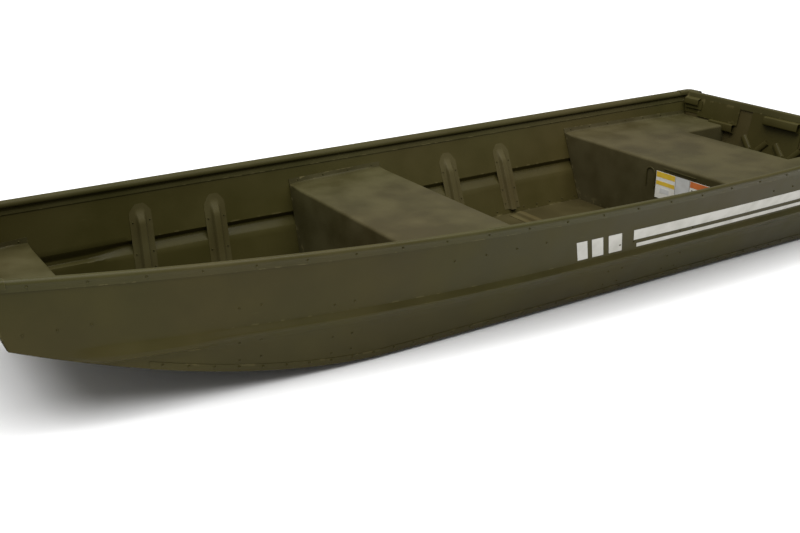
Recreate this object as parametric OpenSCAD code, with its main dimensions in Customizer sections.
// Flat-bottomed riveted aluminium jon boat with three box benches.
// Millimetres. +X to the bow, +Y to port, +Z up. Origin below the middle of the boat,
// on the plane that the bottom runners stand on.

/* [Hull] */
// Length at the rim, transom to bow plate
hull_l = 3607; // [3560:1:3660]
// Half beam of the side sheets at the widest station
half_beam = 616; // [600:1:630]
// Half beam at the transom rim
half_beam_aft = 578; // [565:1:590]
// Half beam at the bow rim
half_beam_bow = 337; // [325:1:350]
// Distance of the widest station from the transom
widest_x = 1002; // [900:1:1100]
// Half width of the flat bottom
half_bottom = 454; // [445:1:465]
// Half width of the bottom at the bow
half_bottom_bow = 353; // [345:1:360]
// Rim height amidships, above the bottom sheet
side_h = 377; // [365:1:390]
// Rim height at the transom
transom_h = 393; // [385:1:400]
// Rim height at the bow
bow_h = 454; // [445:1:465]
// Rise of the bottom sheet at the bow
bow_rise = 284; // [270:1:295]
// Distance of the bottom corner of the transom from its rim
transom_rake = 80; // [60:1:95]
// Distance of the lower edge of the bow plate from the transom rim
chine_l = 3546; // [3535:1:3555]

/* [Sheet metal] */
// Thickness of the hull and bench sheets
sheet_t = 1.6; // [1.4:0.1:2]
// Clearance left between neighbouring sheets for paint and sealant
gap = 0.6; // [0.5:0.1:0.8]
// How far the pressed side ridge stands out
ridge_out = 14; // [10:1:18]
// Height of the runners under the bottom
runner_h = 12; // [10:1:16]

/* [Benches] */
// Height of the bench tops
bench_z = 286; // [275:1:295]
// Aft edge of the bow bench
bow_bench_x = 3299; // [3280:1:3320]
// Front edge of the middle bench
mid_bench_front = 2264; // [2240:1:2290]
// Aft edge of the middle bench
mid_bench_aft = 1832; // [1810:1:1850]
// Front edge of the rear bench
rear_bench_front = 813; // [790:1:830]
// Front edge of the motor well
well_x = 314; // [300:1:330]
// Half width of the motor well
well_half = 281; // [270:1:290]
// Bend radius of the bench edges
bench_r = 14; // [10:1:18]

/* [Transom] */
// Thickness of the transom core board
core_t = 30; // [25:1:34]
// Half width of the motor pads
pad_half = 140; // [120:1:160]
// Inner radius of the drain tube
drain_r = 12.7; // [12:0.1:13]

/* [Rivets] */
// Radius of a rivet head
rivet_r = 4.4; // [3.5:0.1:5]

/* [Hidden] */

hull_paint = "#403a22";
bench_paint = "#55503a";
rail_paint = "#3a3a22";
core_paint = "#4a442c";
foam_blue = "#9fb4c0";
brass = "#b08d45";
rubber = "#222222";

// Stations of the side sheets, and where the curves of the hull turn
stations = 48;
sheer_x = 1265;
turn_x = 2256;
rise_x = 2440;
// Ribs: stations, half width over the flanges, half width and depth of the hat
rib_x = [2890, 2594, 1488, 1196];
rib_flange = 43;
rib_hat = 15;
rib_depth = 20;
// Pressed ridge in the sides, height overall
ridge_h = 53;
// Upturned flange at the ends of the bench tops
flange_h = 20;
// Runners: distance of the outer two from the middle
runner_y = 270;
// Heights of the sheets over the ground, and slopes of the two ends
base_z = runner_h + sheet_t + 0.2;
skin_y = sheet_t * 1.1;
rake_a = atan(transom_rake / transom_h);
slope_l = norm([transom_rake, transom_h]);
bow_low = bow_rise * pow((chine_l - rise_x) / (hull_l - rise_x), 1.725);
bow_a = atan((hull_l - chine_l) / (bow_h - bow_low));
bow_slope_l = norm([hull_l - chine_l, bow_h - bow_low]);
// Inside face of the transom, forward of its outside face, and the tops of the two end plates
inner_n = gap + sheet_t + 0.1 + core_t;
transom_top_v = slope_l - 7;
bow_top_v = bow_slope_l - 4;
// Handles: centre of the bar off the sheet, bar radius, and height up each end plate
handle_out = 32;
handle_bar_r = 6;
bow_handle_v = bow_slope_l - 64;
stern_handle_v = 330;
// Middle of the whole boat, handles included
handle_reach = handle_out + handle_bar_r;
bow_end = chine_l + bow_handle_v * sin(bow_a) + (gap + sheet_t + 0.1 + handle_reach) * cos(bow_a);
stern_end = transom_rake - stern_handle_v * sin(rake_a) - (0.1 - gap + handle_reach) * cos(rake_a);
mid_x = (bow_end + stern_end) / 2;

function mix(a, b, t) = a + (b - a) * t;
function clamp(v) = max(0, min(1, v));

// Half beam at the rim
function rim_half(x) = x < widest_x
    ? mix(half_beam, half_beam_aft, pow((widest_x - x) / widest_x, 2))
    : mix(half_beam, half_beam_bow, pow((x - widest_x) / (hull_l - widest_x), 2.1));

// Height of the rim, lowest a third of the way forward
function rim_z(x) = x < sheer_x
    ? mix(side_h, transom_h, pow((sheer_x - x) / sheer_x, 2))
    : mix(side_h, bow_h, pow((x - sheer_x) / (hull_l - sheer_x), 2));

// Half width and height of the bottom sheet
function chine_half(x) = mix(half_bottom, half_bottom_bow, pow(clamp((x - turn_x) / (hull_l - turn_x)), 2));
function chine_z(x) = bow_rise * pow(max(0, x - rise_x) / (hull_l - rise_x), 1.725);

// Half width of the hull at any station and height, and the same inside the sheet
function half_w(x, z) = mix(chine_half(x), rim_half(x), (z - chine_z(x)) / (rim_z(x) - chine_z(x)));
function half_in(x, z) = half_w(x, z) - skin_y - gap;
function flare(x, z) = atan((half_w(x, z + 10) - half_w(x, z - 10)) / 20);
function plan_a(x, z) = atan((half_w(x + 10, z) - half_w(x - 10, z)) / 20);

// Upper edge of the pressed ridge, and how far it stands out along the boat
function ridge_z(x) = 178 + 46.5 * pow(max(0, x - 1900) / 1330, 1.5);
function ridge_push(x) = ridge_out * clamp((x - 60) / 120) * clamp((3440 - x) / 160);

// Inside face of the transom and of the bow plate at a height
function transom_x(z) = transom_rake * (1 - z / transom_h) + inner_n / cos(rake_a);
function bow_x(z) = mix(chine_l, hull_l, (z - bow_low) / (bow_h - bow_low));

function tris(a, b, c, d) = [[a, b, c], [a, c, d]];

// Closed solid between an outer and an inner net of points
module shell(outer, inner) {
    n = len(outer);
    m = len(outer[0]);
    polyhedron(
        points = [for (row = concat(outer, inner)) each row],
        faces = [
            for (i = [0:n - 2], j = [0:m - 2])
                each tris(i*m + j, (i+1)*m + j, (i+1)*m + j + 1, i*m + j + 1),
            for (i = [n:2*n - 2], j = [0:m - 2])
                each tris(i*m + j, i*m + j + 1, (i+1)*m + j + 1, (i+1)*m + j),
            for (i = [0:n - 2])
                each tris((i+1)*m, i*m, (n+i)*m, (n+i+1)*m),
            for (i = [1:n - 1])
                each tris(i*m - 1, (i+1)*m - 1, (n+i+1)*m - 1, (n+i)*m - 1),
            for (j = [0:m - 2])
                each tris(j, j + 1, n*m + j + 1, n*m + j),
            for (j = [0:m - 2])
                each tris((n-1)*m + j + 1, (n-1)*m + j, (2*n-1)*m + j, (2*n-1)*m + j + 1)]);
}

// Moves a piece from the hull's own stations to the frame of the whole boat
module set_in_boat() { translate([-mid_x, 0, base_z]) children(); }

// The same, with a port piece turned over for the starboard side
module set_starboard() { set_in_boat() mirror([0, 1, 0]) children(); }

// Places a piece on the transom: X across the boat, Y up the slope, Z forward from the outside face
module on_transom() {
    translate([transom_rake, 0, 0]) rotate([0, -rake_a, 0]) rotate([90, 0, 90]) children();
}

// Places a piece on the bow plate: X across the boat, Y up the slope, Z forward from the plate
module on_bow() {
    translate([chine_l, 0, bow_low]) rotate([0, bow_a, 0]) rotate([90, 0, 90]) children();
}

// Turns +Z to the outward normal of the port side at a station and height
module on_side(x, z, out = 0) {
    translate([x, half_w(x, z) + out, z])
        rotate([0, 0, plan_a(x, z)]) rotate([-90 - flare(x, z), 0, 0]) children();
}

// Rivet with a domed head above Z = 0 and a formed head below the grip
module rivet(grip) {
    cylinder(r1 = rivet_r, r2 = rivet_r * 0.6, h = 1.6, $fn = 16);
    translate([0, 0, -grip]) cylinder(r = rivet_r * 0.5, h = grip, $fn = 16);
    translate([0, 0, -grip - 1]) cylinder(r = rivet_r * 0.8, h = 1, $fn = 16);
}

// ---- Hull sheets ----

// Station t from transom (0) to bow (1); u from chine (0) to rim (1)
function side_point(t, u, out) =
    let (cx = mix(transom_rake, chine_l, t), rx = hull_l * t)
    let (x = mix(cx, rx, u), z = mix(chine_z(cx), rim_z(rx), u))
    [x, half_w(x, z) + out, z];

function ridge_u(t, drop) =
    let (cx = mix(transom_rake, chine_l, t), rx = hull_l * t, x = mix(cx, rx, 0.35))
    (ridge_z(x) - drop - chine_z(cx)) / (rim_z(rx) - chine_z(cx));

function side_row(t, out) =
    let (push = ridge_push(hull_l * t), low = max(0.03, ridge_u(t, ridge_h)), top = max(0.12, ridge_u(t, 0)))
    [
        side_point(t, 0, out),
        side_point(t, low / 2, out),
        side_point(t, low, out),
        side_point(t, max(0.06, ridge_u(t, ridge_h * 0.56)), out + push),
        side_point(t, max(0.09, ridge_u(t, ridge_h * 0.44)), out + push),
        for (k = [0:3]) side_point(t, mix(top, 1, k / 3), out)];

module side_sheet() {
    rows = [for (i = [0:stations]) i / stations];
    shell([for (t = rows) side_row(t, 0)], [for (t = rows) side_row(t, -skin_y)]);
}

function bottom_row(x, dz) = [for (k = [-1:0.5:1]) [x, k * chine_half(x), chine_z(x) + dz]];

function bottom_x(i) = mix(transom_rake, chine_l, i / stations);

module flat_bottom() {
    xs = [for (i = [0:stations]) bottom_x(i)];
    shell([for (x = xs) bottom_row(x, -sheet_t)], [for (x = xs) bottom_row(x, 0)]);
}

module transom_outline(inset) {
    low = half_bottom - inset;
    high = mix(half_bottom, half_beam_aft, transom_top_v / slope_l) - inset;
    polygon([[-low, 0], [low, 0], [high, transom_top_v], [-high, transom_top_v]]);
}

module transom_sheet() {
    difference() {
        on_transom() translate([0, 0, gap]) linear_extrude(sheet_t) transom_outline(skin_y + gap);
        drain_bore(tube_r);
    }
}

module bow_sheet() {
    on_bow() translate([0, 0, gap]) linear_extrude(sheet_t)
        polygon([
            [-half_bottom_bow - 4, 0.4], [half_bottom_bow + 4, 0.4],
            [half_beam_bow, bow_top_v], [-half_beam_bow, bow_top_v]]);
}

// ---- Rails under and around the hull ----

chine_leg = 22;
chine_t = 2;
chine_stations = 43;

function chine_row(x, w) =
    let (c = chine_half(x), z = chine_z(x), up = half_w(x, z + chine_leg))
    [
        [x, c - chine_leg, z - sheet_t - gap - w],
        [x, c + gap + w, z - sheet_t - gap - w],
        [x, c + gap * 2 + w, z + 1],
        [x, up + gap * 2 + w, z + chine_leg]];

module chine_angle() {
    xs = [for (i = [0:chine_stations]) bottom_x(i)];
    shell([for (x = xs) chine_row(x, chine_t)], [for (x = xs) chine_row(x, 0)]);
}

function runner_row(x, y, w) =
    let (z = chine_z(x) - sheet_t - 0.2)
    [
        [x, y - 15 + w, z],
        [x, y - 10 + w * 0.8, z - runner_h + w],
        [x, y + 10 - w * 0.8, z - runner_h + w],
        [x, y + 15 - w, z]];

module runner(y) {
    xs = [bottom_x(1), for (i = [32:stations - 2]) bottom_x(i)];
    shell([for (x = xs) runner_row(x, y, 0)], [for (x = xs) runner_row(x, y, 2.2)]);
}

// Gunwale section: distance below the rim and distance out from the side sheet
gunwale_outer = [
    [26, 3.4], [22, 5.2], [6, 5.8], [-2, 4.4], [-6, 0], [-7.6, -6], [-6.6, -12.5],
    [-2.6, -17.6], [3.5, -19.6], [10, -18.8], [15.5, -15.6], [19, -10.6], [20, -5.6]];
gunwale_inner = [
    [26, 0.8], [22, 0.8], [6, 0.8], [-1, 0.8], [-3.4, -1.6], [-4.8, -6.4], [-4, -11.2],
    [-0.8, -15], [4, -16.8], [9.2, -16], [13.4, -13.4], [16.2, -9.6], [17, -5.6]];

function gunwale_row(x, section) =
    [for (p = section) [x, half_w(x, rim_z(x) - p[0]) + p[1], rim_z(x) - p[0]]];

module gunwale() {
    xs = [for (i = [0:stations]) mix(40, hull_l - 26, i / stations)];
    shell([for (x = xs) gunwale_row(x, gunwale_outer)], [for (x = xs) gunwale_row(x, gunwale_inner)]);
}

// Channel with a round-cornered back, open downwards; w is its width inside
module cap_section(w, depth) {
    t = 2.4;
    r = 5;
    difference() {
        union() {
            translate([-t, -depth]) square([w + 2 * t, depth + 1]);
            translate([r - t, 0]) square([w + 2 * (t - r), r + 1]);
            for (x = [r - t, w + t - r]) translate([x, 1]) circle(r = r, $fn = 48);
        }
        translate([0, -depth - 1]) square([w, depth + 1.2]);
    }
}

// Straight cap along the top of an end plate; n is where its slot begins
module end_cap(run, v, n, w) {
    translate([-run, v, n]) rotate([0, 90, 0]) linear_extrude(2 * run) mirror([1, 0]) cap_section(w, 24);
}

// Plan of a corner casting: round corner at the origin, one leg along the side, one inboard
corner_r = 24;
corner_leg = 62;
corner_wall = 3;
function turned(p, a) = [p[0] * cos(a) - p[1] * sin(a), p[0] * sin(a) + p[1] * cos(a)];
module corner_plan(r, w, leg, a) {
    inner = (r - w) * (1 + sin(a)) / cos(a);
    polygon(concat(
        [turned([-leg, r], a)],
        [for (k = [0:12]) let (b = (90 + a) * (1 - k / 12)) [r * cos(b), r * sin(b)]],
        [[r, -leg], [r - w, -leg], turned([inner, r - w], a), turned([-leg, r - w], a)]));
}

// Casting over a corner of the rim, as on the port bow
module corner_cap(a) {
    difference() {
        translate([0, 0, -26]) linear_extrude(26 + corner_wall) corner_plan(corner_r, 42, corner_leg, a);
        translate([0, 0, -27]) linear_extrude(27)
            corner_plan(corner_r - corner_wall, 200, corner_leg + 40, a);
    }
}

module bow_corner() {
    translate([hull_l - 11.5, half_beam_bow - 10.2, bow_h + 10])
        rotate([0, -3.8, 0]) corner_cap(plan_a(hull_l - 50, bow_h));
}

module stern_corner() {
    translate([13, half_beam_aft - 12.5, transom_h + 9.4])
        rotate([0, 1.4, 0]) mirror([1, 0, 0]) corner_cap(-plan_a(50, transom_h));
}

// ---- Ribs ----

hat = [
    [-rib_flange, 0], [-rib_hat - 8, 0], [-rib_hat, 1], [rib_hat, 1], [rib_hat + 8, 0], [rib_flange, 0]];

// Hat-shaped rib up the side: part of the height, width and depth at each level
rib_levels = [
    [0.02, 1, 1], [0.3, 1, 1], [0.56, 1, 0.9], [0.66, 0.86, 0.7], [0.71, 0.6, 0.4], [0.735, 0.3, 0.1]];

function rib_row(x0, level, w) =
    [for (h = hat)
        let (x = x0 + h[0] * level[1], z = mix(chine_z(x0 + rib_flange) + 11, rim_z(x0), level[0]))
        [x, half_in(x, z) - w - h[1] * level[2] * rib_depth, z]];

module side_rib(x0) {
    shell([for (l = rib_levels) rib_row(x0, l, sheet_t)], [for (l = rib_levels) rib_row(x0, l, 0)]);
}

// Hat-shaped rib across the floor
module floor_rib(x0) {
    run = chine_half(x0 + rib_flange) - 30;
    lift = chine_z(x0) > 0 ? 1.5 : 0.3;
    tilt = atan((chine_z(x0 + 10) - chine_z(x0 - 10)) / 20);
    depth = 16;
    translate([x0, run, chine_z(x0) + lift]) rotate([0, -tilt, 0]) rotate([90, 0, 0])
        linear_extrude(2 * run) difference() {
            polygon([for (h = hat) [h[0], sheet_t + h[1] * depth], [rib_flange, 0], [-rib_flange, 0]]);
            polygon([[-rib_hat - 7, -1], [-rib_hat + 1, depth], [rib_hat - 1, depth], [rib_hat + 7, -1]]);
        }
}

// ---- Benches ----

// Round bend from angle a to b about a centre, five points
function bend(cx, cz, r, a, b) =
    [for (k = [0:4]) let (t = mix(a, b, k / 4)) [cx + r * cos(t), cz + r * sin(t)]];
function steps(x0, x1, z, n) = [for (k = [1:n - 1]) [mix(x0, x1, k / n), z]];

// Bench section from the floor behind, over the top, to the floor in front; w is the inset
function bench_path(x0, x1, z0, z1, w) =
    let (r = bench_r, top = bench_z - r)
    concat(
        [[x0 + w, z0]], bend(x0 + r, top, r - w, 180, 90),
        steps(x0 + r, x1 - r, bench_z - w, 4),
        bend(x1 - r, top, r - w, 90, 0), [[x1 - w, z1]]);

// The same without the face behind
function ledge_path(x0, x1, z1, w) =
    let (r = bench_r, top = bench_z - r)
    concat(
        [[x0, bench_z - w]], steps(x0, x1 - r, bench_z - w, 4),
        bend(x1 - r, top, r - w, 90, 0), [[x1 - w, z1]]);

// The same without the face in front
function shelf_path(x0, x1, z0, w) =
    concat(
        [[x0 + w, z0]], bend(x0 + bench_r, bench_z - bench_r, bench_r - w, 180, 90),
        steps(x0 + bench_r, x1, bench_z - w, 4), [[x1, bench_z - w]]);

// Rows of the section at the two sides, ending inside the turned-up flanges
function side_of(p) = half_in(p[0], p[1]) - 0.5;
function across(path) = [for (k = [-1, 1]) [for (p = path) [p[0], k * side_of(p), p[1]]]];
function out_from(path, y) = [[for (p = path) [p[0], y, p[1]]], [for (p = path) [p[0], side_of(p), p[1]]]];

// Flange turned up from a bench top against the port side
module end_flange(x0, x1) {
    xs = [for (i = [0:4]) mix(x0, x1, i / 4)];
    levels = [bench_z - sheet_t - 0.4, bench_z + flange_h];
    shell(
        [for (x = xs) [for (z = levels) [x, half_in(x, z), z]]],
        [for (x = xs) [for (z = levels) [x, half_in(x, z) - sheet_t, z]]]);
}

module both_flanges(x0, x1) {
    end_flange(x0, x1);
    mirror([0, 1, 0]) end_flange(x0, x1);
}

module bow_bench() {
    x1 = bow_x(bench_z) - 3;
    z0 = chine_z(bow_bench_x + sheet_t) + 0.6;
    shell(across(shelf_path(bow_bench_x, x1, z0, 0)), across(shelf_path(bow_bench_x, x1, z0, sheet_t)));
    both_flanges(bow_bench_x + bench_r + 2, x1 + 0.5);
}

module mid_bench() {
    path = function(w) bench_path(mid_bench_aft, mid_bench_front, 0.6, 0.6, w);
    shell(across(path(0)), across(path(sheet_t)));
    both_flanges(mid_bench_aft + bench_r + 2, mid_bench_front - bench_r - 2);
}

// Rear bench with a wing on each side of the motor well
module rear_wing() {
    x0 = transom_x(bench_z) + 1;
    path = function(w) ledge_path(x0, rear_bench_front, 0.6, w);
    shell(out_from(path(0), well_half), out_from(path(sheet_t), well_half));
    translate([0, well_half + sheet_t, 0]) rotate([90, 0, 0]) linear_extrude(sheet_t)
        polygon([[transom_x(0.6) + 1, 0.6], [well_x + sheet_t, 0.6],
            [well_x + sheet_t, bench_z - 0.2], [x0, bench_z - 0.2]]);
    end_flange(x0 + 2, rear_bench_front - bench_r - 2);
}

module rear_bench() {
    side = well_half + 0.4;
    path = function(w) bench_path(well_x, rear_bench_front, 0.6, 0.6, w);
    shell(
        [for (k = [-1, 1]) [for (p = path(0)) [p[0], k * side, p[1]]]],
        [for (k = [-1, 1]) [for (p = path(sheet_t)) [p[0], k * side, p[1]]]]);
    rear_wing();
    mirror([0, 1, 0]) rear_wing();
}

// Foam block between two stations, clear of the cover over it
foam_gap = 6;
bow_foam_x = 3430;
module foam(x0, x1, z0, z1, y0) {
    xs = [for (i = [0:3]) mix(x0, x1, i / 3)];
    top = function(y) [for (x = xs) [x, y == 1 ? half_in(x, z1) - foam_gap : y0, z1]];
    base = function(y) [for (x = xs) [x, y == 1 ? half_in(x, z0) - foam_gap : y0, z0]];
    shell([top(0), top(1)], [base(0), base(1)]);
}

module foam_across(x0, x1, z0, z1) {
    foam(x0, x1, z0, z1, 0);
    mirror([0, 1, 0]) foam(x0, x1, z0, z1, 0);
}

// ---- Transom ----

module core_board() {
    difference() {
        on_transom() translate([0, 0, gap + sheet_t + 0.1]) linear_extrude(core_t) intersection() {
            transom_outline(skin_y + gap + 1);
            translate([-half_beam_aft, 2]) square([2 * half_beam_aft, transom_top_v - 2.5]);
        }
        drain_bore(tube_r);
    }
}

pad_low = 250;
pad_top = transom_top_v - 24;
module motor_pad_in() {
    on_transom() translate([-pad_half, 200, inner_n + 0.1]) cube([2 * pad_half, pad_top - 200, 6]);
    on_transom() translate([-pad_half / 2, pad_low + 80, inner_n + 5])
        cube([pad_half, pad_top - pad_low - 80, 10]);
}

module motor_pad_out() {
    on_transom() translate([-pad_half, pad_low - 60, gap - 5.1])
        cube([2 * pad_half, pad_top - pad_low + 60, 5]);
}

// Y-shaped stiffener casting on each side of the drain, on the inside of the transom
brace_y = 90;
module y_brace() {
    half = [[0, 104], [30, 140], [48, 140], [48, 125], [26, 60]];
    on_transom() translate([brace_y, 0, inner_n + 0.1]) linear_extrude(7) difference() {
        polygon(concat(half, [for (k = [4:-1:1]) [-half[k][0], half[k][1]]]));
        polygon([[-12, 78], [12, 78], [0, 96]]);
    }
}

module corner_gusset() {
    low = bench_z / cos(rake_a) + 10;
    high = transom_top_v - 26;
    inner_y = 225;
    outer = function(v) half_in(transom_x(v * cos(rake_a)), v * cos(rake_a)) - 3;
    on_transom() translate([0, 0, inner_n + 0.1]) linear_extrude(3) difference() {
        polygon([
            [inner_y, high], [inner_y, low + 40], [inner_y + 60, low],
            [outer(low), low], [outer(high), high]]);
        translate([inner_y, low]) circle(r = 40, $fn = 48);
    }
    on_transom() translate([440, low + 22, inner_n + 3]) cube([100, high - low - 24, 9]);
}

// ---- Handles and eyes ----

// Bar handle on two posts, standing out along +Z, with its base plates at Z = 0
module bar_handle(span) {
    for (k = [-1, 1]) translate([k * span / 2, 0, 0]) {
        cylinder(r = 15, h = 4, $fn = 48);
        cylinder(r = handle_bar_r, h = handle_out, $fn = 32);
        translate([0, 0, handle_out]) sphere(r = handle_bar_r, $fn = 32);
    }
    translate([-span / 2, 0, handle_out]) rotate([0, 90, 0]) cylinder(r = handle_bar_r, h = span, $fn = 32);
}

// Lug plate with a round eye, standing out along +Z, its bore along X
eye_r = 9;
eye_t = 8;
eye_out = 24;
module eye_lug() {
    translate([-20, -28, 0]) cube([40, 56, 4]);
    difference() {
        union() {
            translate([-eye_t / 2, 0, eye_out]) rotate([0, 90, 0])
                cylinder(r = eye_r + 8, h = eye_t, $fn = 64);
            translate([-eye_t / 2, -eye_r - 8, 3]) cube([eye_t, 2 * eye_r + 16, eye_out - 3]);
        }
        translate([-eye_t, 0, eye_out]) rotate([0, 90, 0]) cylinder(r = eye_r, h = 2 * eye_t, $fn = 64);
    }
}

module on_transom_outside(y, v) { on_transom() translate([y, v, gap - 0.1]) mirror([0, 0, 1]) children(); }
module on_bow_outside(y, v) { on_bow() translate([y, v, gap + sheet_t + 0.1]) children(); }

// ---- Drain ----

tube_r = drain_r + 1.6;
drain_v = 40;
tube_flange = 2;
module on_drain() { on_transom() translate([0, drain_v, 0]) children(); }
module drain_bore(r) { on_drain() translate([0, 0, -20]) cylinder(r = r, h = core_t + 60, $fn = 64); }

module tube() {
    difference() {
        on_drain() union() {
            translate([0, 0, gap - tube_flange - 0.1]) cylinder(r = tube_r + 5, h = tube_flange, $fn = 64);
            translate([0, 0, gap - 1]) cylinder(r = tube_r - 0.05, h = inner_n + 1, $fn = 64);
            translate([0, 0, inner_n + 0.1]) cylinder(r = tube_r + 5, h = tube_flange, $fn = 64);
        }
        drain_bore(drain_r);
    }
}

// The bung fits the tube from inside the boat; its head bears on the tube flange
plug_seat = inner_n + tube_flange + 0.2;
module bung() {
    difference() {
        on_drain() union() {
            translate([0, 0, plug_seat - 24]) cylinder(r = drain_r - 0.06, h = 24.5, $fn = 64);
            translate([0, 0, plug_seat]) cylinder(r = drain_r + 3, h = 5, $fn = 64);
        }
        on_drain() translate([0, 0, -20]) cylinder(r = 3.1, h = 90, $fn = 32);
    }
}

stem_eye = plug_seat + 15;
module stem() {
    difference() {
        on_drain() union() {
            translate([0, 0, plug_seat - 26.2]) cylinder(r = 9, h = 2, $fn = 48);
            translate([0, 0, plug_seat - 25]) cylinder(r = 3, h = stem_eye - plug_seat + 25, $fn = 32);
            translate([0, 0, plug_seat + 5.1]) cylinder(r = 11, h = 1.5, $fn = 48);
            translate([-2.5, 0, stem_eye]) rotate([0, 90, 0]) cylinder(r = 4.5, h = 5, $fn = 48);
        }
        on_drain() translate([-10, 0, stem_eye]) rotate([0, 90, 0]) cylinder(r = 2.05, h = 20, $fn = 32);
    }
}

// Cam lever: two cheeks and a pin through the stem's eye, folded down against the bung
module lever() {
    on_drain() translate([0, 0, stem_eye]) {
        translate([-5.6, 0, 0]) rotate([0, 90, 0]) cylinder(r = 2, h = 11.2, $fn = 32);
        for (x = [-5.6, 3.1]) {
            translate([x, 0, 0]) rotate([0, 90, 0]) cylinder(r = 5.5, h = 2.5, $fn = 48);
            translate([x, 2, -1.5]) cube([2.5, 26, 3.5]);
        }
        translate([-5.6, 24, -1.5]) cube([11.2, 26, 3.5]);
    }
}

// ---- Rivets ----

function spaced(x0, x1, pitch) =
    let (n = round((x1 - x0) / pitch))
    [for (i = [0:n]) mix(x0, x1, i / n)];

module side_rivets(xs, height, out, grip) {
    for (x = xs) on_side(x, chine_z(x) + height, out) rivet(grip);
}

module bench_line(x0, x1) {
    for (x = spaced(x0 + 40, x1 - 40, 110)) on_side(x, bench_z + 11, 0.05) rivet(2 * sheet_t + 1);
}

// ---- The boat's pieces ----

module bottom_sheet() { color(hull_paint) set_in_boat() flat_bottom(); }
module port_side_sheet() { color(hull_paint) set_in_boat() side_sheet(); }
module starboard_side_sheet() { color(hull_paint) set_starboard() side_sheet(); }
module transom_skin() { color(hull_paint) set_in_boat() transom_sheet(); }
module bow_plate() { color(hull_paint) set_in_boat() bow_sheet(); }
module port_chine_angle() { color(hull_paint) set_in_boat() chine_angle(); }
module starboard_chine_angle() { color(hull_paint) set_starboard() chine_angle(); }
module center_keel() { color(hull_paint) set_in_boat() runner(0); }
module port_runner() { color(hull_paint) set_in_boat() runner(runner_y); }
module starboard_runner() { color(hull_paint) set_starboard() runner(runner_y); }
module port_gunwale() { color(rail_paint) set_in_boat() gunwale(); }
module starboard_gunwale() { color(rail_paint) set_starboard() gunwale(); }
module transom_cap() {
    color(rail_paint) set_in_boat()
        on_transom() end_cap(half_beam_aft - 34, transom_top_v + 0.6, 0, inner_n + 0.4);
}
module bow_cap() {
    color(rail_paint) set_in_boat() on_bow() end_cap(half_beam_bow - 30, bow_top_v + 0.6, -15.2, 18);
}
module port_stern_corner() { color(rail_paint) set_in_boat() stern_corner(); }
module starboard_stern_corner() { color(rail_paint) set_starboard() stern_corner(); }
module port_bow_corner() { color(rail_paint) set_in_boat() bow_corner(); }
module starboard_bow_corner() { color(rail_paint) set_starboard() bow_corner(); }

module floor_rib_1() { color(hull_paint) set_in_boat() floor_rib(rib_x[0]); }
module floor_rib_2() { color(hull_paint) set_in_boat() floor_rib(rib_x[1]); }
module floor_rib_3() { color(hull_paint) set_in_boat() floor_rib(rib_x[2]); }
module floor_rib_4() { color(hull_paint) set_in_boat() floor_rib(rib_x[3]); }
module port_side_rib_1() { color(hull_paint) set_in_boat() side_rib(rib_x[0]); }
module port_side_rib_2() { color(hull_paint) set_in_boat() side_rib(rib_x[1]); }
module port_side_rib_3() { color(hull_paint) set_in_boat() side_rib(rib_x[2]); }
module port_side_rib_4() { color(hull_paint) set_in_boat() side_rib(rib_x[3]); }
module starboard_side_rib_1() { color(hull_paint) set_starboard() side_rib(rib_x[0]); }
module starboard_side_rib_2() { color(hull_paint) set_starboard() side_rib(rib_x[1]); }
module starboard_side_rib_3() { color(hull_paint) set_starboard() side_rib(rib_x[2]); }
module starboard_side_rib_4() { color(hull_paint) set_starboard() side_rib(rib_x[3]); }

module bow_bench_cover() { color(bench_paint) set_in_boat() bow_bench(); }
module mid_bench_cover() { color(bench_paint) set_in_boat() mid_bench(); }
module rear_bench_cover() { color(bench_paint) set_in_boat() rear_bench(); }

module bow_foam() {
    color(foam_blue) set_in_boat()
        foam_across(bow_bench_x + foam_gap, bow_foam_x, chine_z(bow_foam_x) + 3, bench_z - foam_gap);
}
module mid_foam() {
    color(foam_blue) set_in_boat()
        foam_across(mid_bench_aft + foam_gap, mid_bench_front - foam_gap, 4, bench_z - foam_gap);
}
module rear_foam() {
    color(foam_blue) set_in_boat()
        foam_across(well_x + foam_gap, rear_bench_front - foam_gap, 4, bench_z - foam_gap);
}
module port_wing_foam() {
    color(foam_blue) set_in_boat()
        foam(transom_x(4) + 4, well_x, 4, bench_z - foam_gap, well_half + foam_gap);
}
module starboard_wing_foam() {
    color(foam_blue) set_starboard()
        foam(transom_x(4) + 4, well_x, 4, bench_z - foam_gap, well_half + foam_gap);
}

module transom_core() { color(core_paint) set_in_boat() core_board(); }
module inner_motor_pad() { color(hull_paint) set_in_boat() motor_pad_in(); }
module outer_motor_pad() { color(hull_paint) set_in_boat() motor_pad_out(); }
module port_transom_brace() { color(hull_paint) set_in_boat() y_brace(); }
module starboard_transom_brace() { color(hull_paint) set_starboard() y_brace(); }
module port_corner_gusset() { color(hull_paint) set_in_boat() corner_gusset(); }
module starboard_corner_gusset() { color(hull_paint) set_starboard() corner_gusset(); }

module bow_handle() { color(rail_paint) set_in_boat() on_bow_outside(0, bow_handle_v) bar_handle(140); }
module port_stern_handle() {
    color(rail_paint) set_in_boat() on_transom_outside(400, stern_handle_v) bar_handle(120);
}
module starboard_stern_handle() {
    color(rail_paint) set_starboard() on_transom_outside(400, stern_handle_v) bar_handle(120);
}
module bow_eye() { color(brass) set_in_boat() on_bow_outside(0, 50) eye_lug(); }
module port_stern_eye() { color(brass) set_in_boat() on_transom_outside(330, 200) eye_lug(); }
module starboard_stern_eye() { color(brass) set_starboard() on_transom_outside(330, 200) eye_lug(); }

module drain_tube() { color(brass) set_in_boat() tube(); }
module plug_bung() { color(rubber) set_in_boat() bung(); }
module plug_stem() { color(brass) set_in_boat() stem(); }
module plug_lever() { color(brass) set_in_boat() lever(); }

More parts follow.
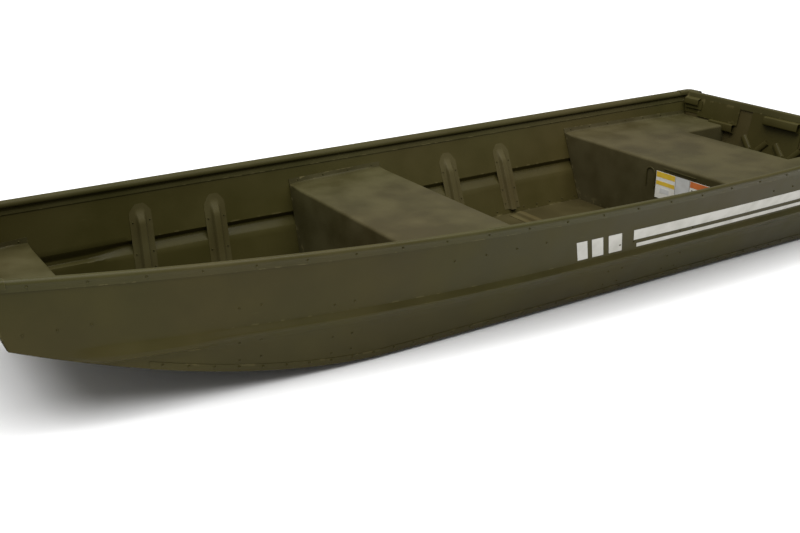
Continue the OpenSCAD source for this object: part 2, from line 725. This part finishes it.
module chine_rivets() {
    color(hull_paint) for (k = [0, 1]) set_in_boat() mirror([0, k, 0])
        side_rivets(spaced(160, 3150, 75), 14, gap * 2 + chine_t + 0.1, 5.6);
}
module rib_rivets() {
    color(hull_paint) for (k = [0, 1]) set_in_boat() mirror([0, k, 0])
        for (x0 = rib_x, dx = [-33, 33], dz = [42, 100, 215])
            on_side(x0 + dx, chine_z(x0) + dz, 0.05) rivet(2 * sheet_t + 1);
}
module bench_rivets() {
    color(hull_paint) for (k = [0, 1]) set_in_boat() mirror([0, k, 0]) {
        bench_line(60, rear_bench_front);
        bench_line(mid_bench_aft, mid_bench_front);
        bench_line(bow_bench_x - 10, chine_l);
    }
}
module transom_rivets() {
    color(hull_paint) set_in_boat() for (y = spaced(-520, 520, 80))
        on_transom_outside(y * half_bottom / half_beam_aft, 22) rivet(sheet_t + 6);
}
module gunwale_rivets() {
    color(rail_paint) for (k = [0, 1]) set_in_boat() mirror([0, k, 0])
        for (x = spaced(150, 3480, 150)) on_side(x, rim_z(x) - 14, 5.6) rivet(6.8);
}

bottom_sheet();
port_side_sheet();
starboard_side_sheet();
transom_skin();
bow_plate();
port_chine_angle();
starboard_chine_angle();
center_keel();
port_runner();
starboard_runner();
port_gunwale();
starboard_gunwale();
transom_cap();
bow_cap();
port_stern_corner();
starboard_stern_corner();
port_bow_corner();
starboard_bow_corner();
floor_rib_1();
floor_rib_2();
floor_rib_3();
floor_rib_4();
port_side_rib_1();
port_side_rib_2();
port_side_rib_3();
port_side_rib_4();
starboard_side_rib_1();
starboard_side_rib_2();
starboard_side_rib_3();
starboard_side_rib_4();
bow_bench_cover();
mid_bench_cover();
rear_bench_cover();
bow_foam();
mid_foam();
rear_foam();
port_wing_foam();
starboard_wing_foam();
transom_core();
inner_motor_pad();
outer_motor_pad();
port_transom_brace();
starboard_transom_brace();
port_corner_gusset();
starboard_corner_gusset();
bow_handle();
port_stern_handle();
starboard_stern_handle();
bow_eye();
port_stern_eye();
starboard_stern_eye();
drain_tube();
plug_bung();
plug_stem();
plug_lever();
chine_rivets();
rib_rivets();
bench_rivets();
transom_rivets();
gunwale_rivets();
